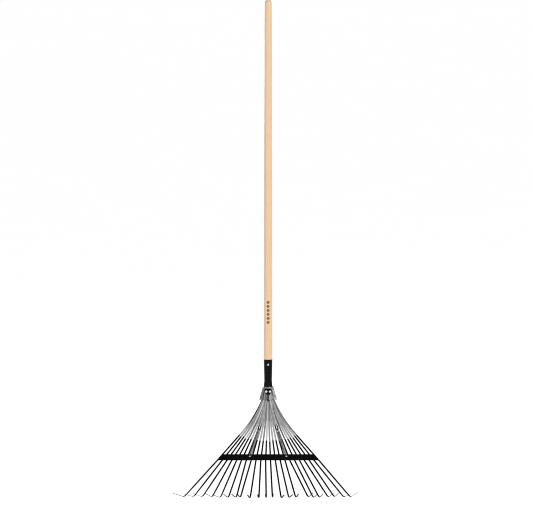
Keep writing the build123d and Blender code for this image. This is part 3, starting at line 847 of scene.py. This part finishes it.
def strip_ring(centre, across, out):
    """A strip's section: slightly crowned faces and small rounded corners."""
    half = STRIP_WIDTH / 2
    thick = STRIP_THICKNESS / 2
    return [centre + across * (x * half) + out * (y * thick) for x, y in STRIP_SECTION]


def tine_course(index, t):
    """The tine's centres, widths and thickness directions in the fan's plane (x, down, front)."""
    low_slope = FAN_SLOPE * t
    top_slope = ROOT_SLOPE * t
    low_start = CROSS_HALF_SPREAD * t - low_slope * CROSS_DOWN
    top_start = MOUTH_HALF_SPREAD * t - top_slope * CLAMP_LENGTH
    corner_down = (top_start - low_start) / (low_slope - top_slope)
    top_angle = math.atan(top_slope)
    low_angle = math.atan(low_slope)
    flat = Vector((0, 0, 1))

    def along(angle):
        return Vector((math.sin(angle), math.cos(angle), 0))

    def across(angle):
        return Vector((math.cos(angle), -math.sin(angle), 0))

    corner = Vector((top_start + top_slope * corner_down, corner_down, 0))
    root = Vector((top_start + top_slope * ROOT_DOWN, ROOT_DOWN, 0))
    bend_start = corner - along(top_angle) * BEND_TANGENT
    bend_end = corner + along(low_angle) * BEND_TANGENT
    radius = BEND_TANGENT / math.tan(abs(low_angle - top_angle) / 2) * math.copysign(1, t)
    centre = bend_start + across(top_angle) * radius
    blade_end = Vector((low_start + low_slope * BLADE_END_DOWN, BLADE_END_DOWN, 0))
    hook_x = low_start + low_slope * HOOK_DOWN + TINE_SETS[index] * MM
    hook_start = Vector((hook_x, HOOK_DOWN, 0))
    course = []
    for i in range(5):
        course.append((root.lerp(bend_start, i / 5), across(top_angle), flat))
    for i in range(24):
        a = top_angle + (low_angle - top_angle) * i / 24
        course.append((centre - across(a) * radius, across(a), flat))
    for i in range(10):
        course.append((bend_end.lerp(blade_end, i / 10), across(low_angle), flat))
    run = (hook_start - blade_end).normalized()
    wide_start = Vector((run.y, -run.x, 0))
    turned_by = math.radians(HOOK_TURNS[index])
    hook = Vector((math.sin(turned_by), 0, -math.cos(turned_by)))
    bend_axis = hook.cross(run).normalized()
    if bend_axis.dot(wide_start) < 0:
        bend_axis = -bend_axis
    straight = (TWIST_START_DOWN - BLADE_END_DOWN) / (HOOK_DOWN - BLADE_END_DOWN)
    for i in range(18):
        share = i / 18
        wide = across(low_angle).lerp(wide_start, min(share / 0.06, 1)).normalized()
        if share > straight:
            wide = wide_start.lerp(bend_axis, (share - straight) / (1 - straight)).normalized()
        course.append((blade_end.lerp(hook_start, share), wide, run.cross(wide).normalized()))
    turn = run.angle(hook)
    inward = (hook - run * hook.dot(run)).normalized()
    middle = hook_start + inward * HOOK_RADIUS
    steps = 12
    for i in range(steps + 1):
        a = turn * i / steps
        p = middle - inward * (HOOK_RADIUS * math.cos(a)) + run * (HOOK_RADIUS * math.sin(a))
        heading = run * math.cos(a) + inward * math.sin(a)
        course.append((p, bend_axis, heading.cross(bend_axis).normalized()))
    end = course[-1][0]
    length = OUTER_HOOK_LENGTH if index in (0, TINES - 1) else HOOK_LENGTH
    left = length - HOOK_RADIUS * math.tan(turn / 2)
    for i in range(1, 6):
        course.append((end + hook * (left * i / 5), bend_axis, hook.cross(bend_axis).normalized()))
    return course


def tine_shades(index, downs):
    """Painted light and shade of a strip's steel at each ring: it varies by strip and by layer, and painted
    shade makes it dark inside the clamp.
    """
    # Painted light: the steel's tone differs from strip to strip, standing in for strips that catch the light
    # differently, and the strips lying further back above the crossbar get painted shade.
    painted_light_tone = 0.82 + 0.34 * math.sin(index * 2.6 + 0.6)
    painted_light_tone *= 0.80 + 0.20 * (index % LAYERS) / (LAYERS - 1)
    # Painted shade: the strip is almost black inside the clamp and reaches its own tone over 6 mm at the
    # mouth; the middle two strips stay dark a little further down, over the slot.
    middle = index in (TINES // 2 - 1, TINES // 2)
    start = MIDDLE_SHADE_DROP if middle else -0.001
    shades = [painted_light_tone * (0.02 + 0.98 * smooth_step((down - CLAMP_LENGTH - start) / 0.006)) for down in downs]
    # Painted shade: the left outer strip is dark down to 0.09 m below the clamp's top and reaches its full
    # tone by 0.145 m, standing in for its shaded side.
    if index == 0:
        painted_side_light = [0.05 + 0.95 * smooth_step((down - 0.090) / 0.055) for down in downs]
        shades = [value * share for value, share in zip(shades, painted_side_light)]
    return shades


def build_tine(index):
    t = (2 * index - TINES + 1) / (TINES - 1)
    layer = (index % LAYERS - (LAYERS - 1) / 2) * LAYER_ANGLE
    course = tine_course(index, t)
    rings = []
    downs = []
    for place, wide, thick in course:
        below = place.y - CROSS_DOWN
        moved = Vector((place.x, CROSS_DOWN + below * math.cos(layer) + place.z * math.sin(layer)))
        front = place.z * math.cos(layer) - below * math.sin(layer)
        centre = in_fan(moved.x, moved.y, front)
        rings.append(strip_ring(centre, turned(*wide), turned(*thick)))
        downs.append(place.y if place.z > -HOOK_START_DEPTH else HOOK_DOWNS)
    last = rings[-1]
    tip = ring_centre(last)
    heading = (tip - ring_centre(rings[-2])).normalized()
    rings.append([tip + (p - tip) * 0.82 + heading * TIP_BULGE for p in last])
    downs.append(HOOK_DOWNS)
    points, faces, uvs = rings_mesh(rings)
    if face_points_in(points, faces[0], ring_centre(rings[0])):
        faces = [face[::-1] for face in faces]
        uvs = [face[::-1] for face in uvs]
    name = f"tine_{index + 1:02d}"
    obj = make_object(f"{name}_strip", points, faces, uvs, TINE_STEEL, 35)
    dip = DIP_DOWN - DIP_RISE * t * t + DIP_WANDER * math.sin(index * 2.4)
    count = len(rings[0])
    set_attribute(obj, "below_dip", [down - dip for down in downs for _ in range(count)])
    # Painted shade between the strips, together with darker sheared edges: the strip's edge points keep only
    # part of their tone.
    across = [EDGE_SHADE_AND_OXIDE if abs(x) > 0.9 else 1.0 for x, _ in STRIP_SECTION]
    set_attribute(obj, "painted_light_tone", [value * edge for value in tine_shades(index, downs) for edge in across])
    wear = []
    for j in range(len(rings)):
        tip_near = math.exp(-(((len(rings) - 1 - j) / 3.0) ** 2))
        wear += [0.22 * tip_near] * count
    set_attribute(obj, "wear", wear)
    finish_piece(obj, [name])
    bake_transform(obj)


def ring_centre(ring):
    return sum((Vector(p) for p in ring), Vector()) / len(ring)


def face_points_in(points, face, centre):
    """Whether a face's normal points towards a centre."""
    a, b, c = (Vector(points[i]) for i in face[:3])
    normal = (b - a).cross(c - a)
    return normal.dot(a - centre) < 0


# ---------------------------------------------------------------- crossbar, brace and springs


def crossbar_place(u, v):
    """A point of a bar's face, from shares across and down it: x, down, and its height off the tines."""
    pitch = 2 / (TINES - 1)
    edge = STRIP_WIDTH / 2 / math.cos(math.atan(FAN_SLOPE)) + CROSS_END_MARGIN
    phase = ((u * (TINES - 1) / 2 + 0.5) % 1.0) - 0.5
    away = (0.5 - abs(phase)) * pitch * CROSS_HALF_SPREAD
    nick = NICK_DEPTH * max(1 - (away / NICK_HALF_WIDTH) ** 2, 0.0)
    down = CROSS_DOWN - CROSS_HEIGHT / 2 + (CROSS_HEIGHT - nick) * v
    spread = CROSS_HALF_SPREAD + FAN_SLOPE * (down - CROSS_DOWN)
    x = u * (spread + edge)
    tine_u = round((x / spread) / pitch - 0.5) + 0.5
    tine_x = max(-1, min(1, tine_u * pitch)) * CROSS_HALF_SPREAD
    gap = math.hypot(x - tine_x, down - CROSS_DOWN)
    swell = SWELL_HEIGHT * math.exp(-((abs(x - tine_x) / SWELL_WIDTH) ** 2))
    dent = WELD_DEPTH * math.exp(-((gap / WELD_RADIUS) ** 2)) - swell
    lip = LIP_DEPTH * (math.exp(-((v / 0.05) ** 2)) + math.exp(-(((1 - v) / 0.05) ** 2)))
    return x, down, CROSS_GAP + CROSS_SHEET - dent - lip


def crossbar_faces(keep, front):
    """Faces and UVs of the bar's grid: both sides, and a rim round every edge and hole."""
    offset = len(keep)
    wide = CROSS_COLUMNS + 1
    faces = []
    uvs = []

    def quad(a, b, c, d):
        face = (a, b, c, d) if front else (d, c, b, a)
        faces.append(face)
        uvs.append(tuple(((i % offset) % wide * 0.0005, (i % offset) // wide * 0.0008) for i in face))

    solid = {}
    for j in range(CROSS_ROWS):
        for i in range(CROSS_COLUMNS):
            a = j * wide + i
            solid[i, j] = all(keep[k] for k in (a, a + 1, a + wide, a + wide + 1))
    for (i, j), is_solid in solid.items():
        if not is_solid:
            continue
        a = j * wide + i
        quad(a, a + wide, a + wide + 1, a + 1)
        quad(a + offset, a + 1 + offset, a + wide + 1 + offset, a + wide + offset)
        sides = [((-1, 0), a, a + wide), ((1, 0), a + wide + 1, a + 1)]
        sides += [((0, -1), a + 1, a), ((0, 1), a + wide, a + wide + 1)]
        for (across, down), start, end in sides:
            if not solid.get((i + across, j + down), False):
                quad(start, start + offset, end + offset, end)
    return faces, uvs


def build_crossbar(front):
    """A flat bar as a fine grid, with a dimple and a nick at each tine and two holes for the springs."""
    sign = 1 if front else -1
    top_face, low_face, keep, wear = [], [], [], []
    for j in range(CROSS_ROWS + 1):
        v = j / CROSS_ROWS
        rim = math.exp(-((v / 0.03) ** 2)) + math.exp(-(((1 - v) / 0.03) ** 2))
        for i in range(CROSS_COLUMNS + 1):
            x, down, outer = crossbar_place(2 * i / CROSS_COLUMNS - 1, v)
            top_face.append(in_fan(x, down, sign * outer))
            low_face.append(in_fan(x, down, sign * CROSS_GAP))
            hole = math.hypot(abs(x) - SPRING_ANCHOR_SPREAD, down - SPRING_ANCHOR_DOWN)
            keep.append(hole > SPRING_HOLE_RADIUS)
            chipped = i > CROSS_COLUMNS - 8 and v > 0.7
            wear.append(0.22 * rim + (0.30 if chipped else 0.0))
    node = "crossbar_front" if front else "crossbar_back"
    faces, uvs = crossbar_faces(keep, front)
    obj = make_object(f"{node}_bar", top_face + low_face, faces, uvs, CROSS_BLACK, 50)
    set_attribute(obj, "wear", wear + wear)
    finish_piece(obj, [node], "fan")


def yoke_point(x, y):
    """A point of the brace wire's own plane: y is measured up from its crown."""
    norm = math.hypot(1, YOKE_SLOPE)
    crown = RIVET_DOWN - RIVET_SHANK_RADIUS - YOKE_RADIUS - YOKE_GAP
    return in_fan(x, crown - y / norm, YOKE_FRONT - YOKE_SLOPE * y / norm), crown


def yoke_leg(side):
    """One leg of the brace wire, from the crown's middle to the end of its hook."""
    turn = RIVET_SHANK_RADIUS + YOKE_RADIUS + YOKE_GAP
    crown = yoke_point(0, 0)[1]
    flat = [(0.0, 0.0), (RIVET_SPREAD * 0.5, 0.0), (RIVET_SPREAD, 0.0)]
    for k in range(1, 9):
        a = math.pi / 2 * k / 8
        flat.append((RIVET_SPREAD + turn * math.sin(a), -turn * (1 - math.cos(a))))
    lean = YOKE_HOOK_LEAN
    start = Vector((YOKE_LEG_END[0], crown - YOKE_LEG_END[1], 0))
    along = Vector((math.sin(lean), -math.cos(lean), 0))
    across = Vector((math.cos(lean), math.sin(lean), 0))
    shoulder = Vector((*flat[-1], 0))
    knots = [shoulder] + [Vector((x, crown - down, 0)) for x, down in YOKE_LEG] + [start]
    leg = smooth_path(knots, 10, Vector((0, -1, 0)), along)
    flat += [(p.x, p.y) for p in leg[1:]]
    centre = start + across * YOKE_HOOK_RADIUS
    for k in range(1, 17):
        a = math.pi * k / 16
        p = centre - across * (YOKE_HOOK_RADIUS * math.cos(a)) + along * (YOKE_HOOK_RADIUS * math.sin(a))
        flat.append((p.x, p.y))
    back = centre + across * YOKE_HOOK_RADIUS
    for k in (0.33, 0.66, 1.0):
        p = back - along * (YOKE_HOOK_TAIL * k)
        flat.append((p.x, p.y))
    low = centre + along * YOKE_HOOK_RADIUS
    return [yoke_point(side * x, y)[0] for x, y in flat], yoke_point(side * low.x, low.y)[0]


def build_yoke():
    left, _ = yoke_leg(-1)
    right, _ = yoke_leg(1)
    path = left[::-1] + right[1:]
    sides = 16
    rings = tube_rings(path, YOKE_RADIUS, sides)
    obj = make_object("brace_yoke_wire", *rings_mesh(rings), BRACE_WIRE, 60)
    # The wire is made black at its crown and at its hook ends.
    blackened = []
    for ring in rings:
        down = (ring_centre(ring) - CLAMP_TOP).dot(DOWN)
        crown = 1 - smooth_step((down - 0.014) / 0.010)
        hook = smooth_step((down - YOKE_LEG_END[1] + 0.020) / 0.012)
        blackened += [max(crown, hook)] * sides
    set_attribute(obj, "blackened", blackened)
    finish_piece(obj, ["brace_yoke"], "head")


def build_spring(side):
    """A coil spring: dark eye round the brace's hook, coil, and a hook through the crossbar."""
    _, low = yoke_leg(side)
    anchor = in_fan(side * SPRING_ANCHOR_SPREAD, SPRING_ANCHOR_DOWN, SPRING_ANCHOR_FRONT)
    axis = (anchor - low).normalized()
    across = turned(math.cos(YOKE_HOOK_LEAN), -side * math.sin(YOKE_HOOK_LEAN))
    x_dir = across.cross(axis).normalized()
    y_dir = axis.cross(x_dir)

    def at(x, y, z):
        return low + x_dir * x + y_dir * y + axis * z

    height = SPRING_TURNS * SPRING_PITCH
    per_turn = 28
    coil = []
    for k in range(SPRING_TURNS * per_turn + 1):
        a = 2 * math.pi * k / per_turn
        z = SPRING_COIL_START + SPRING_PITCH * k / per_turn
        coil.append(at(SPRING_COIL_RADIUS * math.cos(a), SPRING_COIL_RADIUS * math.sin(a), z))
    eye_drop = SPRING_EYE_RADIUS - SPRING_WIRE_RADIUS - YOKE_RADIUS - SPRING_EYE_GAP
    eye = [coil[0]]
    for degrees in (60, 30, 0, -30, -60, -90, -120, -150, -180, -210, -240):
        a = math.radians(degrees)
        eye.append(at(SPRING_EYE_RADIUS * math.cos(a), 0, eye_drop + SPRING_EYE_RADIUS * math.sin(a)))
    eye = smooth_path(eye, 5, -(coil[1] - coil[0]))
    hole = in_fan(side * SPRING_ANCHOR_SPREAD, SPRING_ANCHOR_DOWN)
    lead = at(0.0005, 0.0024, SPRING_COIL_START + height + 0.003)
    ends = [(-0.0015, 0.0052), (0, 0.0016), (0, -0.0016), (-0.0012, -0.0044), (-0.0040, -0.0054)]
    tail = [coil[-1], lead] + [hole + DOWN * down + FRONT * front for down, front in ends]
    tail = smooth_path(tail, 7, coil[-1] - coil[-2], -DOWN)
    path = eye[::-1] + coil[1:] + tail[1:]
    name = "brace_spring_left" if side < 0 else "brace_spring_right"
    rings = tube_rings(path, SPRING_WIRE_RADIUS, 10)
    obj = make_object(f"{name}_coil", *rings_mesh(rings), SPRING_STEEL, 60)
    # The eye and the first coils are made nearly black, fading out over 12 mm of the coil.
    blackened = []
    for ring in rings:
        below = (ring_centre(ring) - low).dot(axis)
        blackened += [0.85 * (1 - smooth_step((below - SPRING_COIL_START) / 0.012))] * len(ring)
    set_attribute(obj, "blackened", blackened)
    finish_piece(obj, [name])
    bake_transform(obj)


def dress_clamp():
    """The clamp's two halves keep their CAD shape and take the galvanised finish."""
    for node in ("clamp_front", "clamp_back"):
        obj = frame["nodes"][node]
        for slot in obj.material_slots:
            slot.material = ZINC
        if not obj.material_slots:
            obj.data.materials.append(ZINC)


build_handle()
build_socket()
build_nail()
build_rivets()
dress_clamp()
build_yoke()
build_spring(-1)
build_spring(1)
build_crossbar(True)
build_crossbar(False)
for number in range(TINES):
    build_tine(number)

# ---------------------------------------------------------------- stage, light and camera


def stage_material():
    n = Nodes("stage_paper")
    soft = n.noise(n.coords((3, 3, 3)), 1.0, 3.0, 0.5)
    n.link(n.ramp(soft, [(0.2, 0.30), (0.8, 0.32)]), n.shader.inputs["Base Color"])
    n.set(Roughness=0.9, Emission_Color=(1, 1, 1, 1), Emission_Strength=STAGE_GLOW)
    n.shader.inputs["Specular IOR Level"].default_value = 0.1
    return n.material


def build_stage():
    """A pale floor, so wide that it fills the view behind the object from any side."""
    floor = GROUND - FLOOR_DROP
    rings = [[Vector((x, y, floor)) for x in (-FLOOR_HALF, FLOOR_HALF)] for y in (-FLOOR_HALF, FLOOR_HALF)]
    points, faces, uvs = rings_mesh(rings, closed_ring=False, caps=False)
    obj = make_object("stage_floor", points, faces, uvs, stage_material(), 60)


def area_light(name, place, target, size, power):
    data = bpy.data.lights.new(name, "AREA")
    data.shape = "RECTANGLE"
    data.size, data.size_y = size
    data.energy = power
    obj = bpy.data.objects.new(name, data)
    obj.location = place
    obj.rotation_euler = (Vector(target) - Vector(place)).to_track_quat("-Z", "Y").to_euler()
    bpy.context.collection.objects.link(obj)


def build_light():
    """A soft room that is lighter on the right, a key light at the upper right and three weaker lights."""
    world = bpy.data.worlds.new("studio")
    bpy.context.scene.world = world
    world.use_nodes = True
    tree = world.node_tree
    where = tree.nodes.new("ShaderNodeTexCoord")
    split = tree.nodes.new("ShaderNodeSeparateXYZ")
    shade = tree.nodes.new("ShaderNodeMapRange")
    shade.inputs["From Min"].default_value = -0.9
    shade.inputs["From Max"].default_value = 0.9
    shade.inputs["To Min"].default_value = ROOM_DARK
    shade.inputs["To Max"].default_value = ROOM_LIGHT
    tree.links.new(where.outputs["Generated"], split.inputs[0])
    tree.links.new(split.outputs["X"], shade.inputs["Value"])
    tree.nodes["Background"].inputs["Color"].default_value = (1, 1, 1, 1)
    tree.links.new(shade.outputs["Result"], tree.nodes["Background"].inputs["Strength"])
    middle = (0, 0, -0.75)
    area_light("key", (3.2, -3.6, 1.2), middle, (1.2, 2.4), KEY_POWER)
    area_light("fill", (-2.8, -4.2, 0.0), middle, (1.6, 2.6), FILL_POWER)
    area_light("top", (0.4, -0.4, 3.0), middle, (1.6, 1.6), TOP_POWER)
    area_light("back", (-1.6, 4.4, 0.8), middle, (1.6, 2.6), BACK_POWER)


def build_camera():
    """Far away, for the picture's flat perspective, and a few degrees above level."""
    image_width, image_height = 533, 528
    distance = 25.0
    lift = math.radians(4)
    across = Vector((1, 0, 0))
    up = Vector((0, math.sin(lift), math.cos(lift)))
    ahead = Vector((0, math.cos(lift), -math.sin(lift)))
    metres_per_dot = 0.003091
    top = Vector((0, 0, HANDLE_TOP))
    centre = top - up * ((image_height / 2 - 0.7) * metres_per_dot) + across * (-1.6 * metres_per_dot)
    centre += ahead * (-(centre.y) / ahead.y)
    data = bpy.data.cameras.new("camera")
    data.sensor_fit = "HORIZONTAL"
    data.sensor_width = 36
    data.lens = 36 * distance / (metres_per_dot * image_width)
    obj = bpy.data.objects.new("camera", data)
    obj.location = centre - ahead * distance
    obj.rotation_euler = ahead.to_track_quat("-Z", "Y").to_euler()
    bpy.context.collection.objects.link(obj)
    bpy.context.scene.camera = obj


build_stage()
build_light()
build_camera()
bpy.context.scene.view_settings.view_transform = "Standard"
bpy.context.scene.cycles.filter_width = 1.05
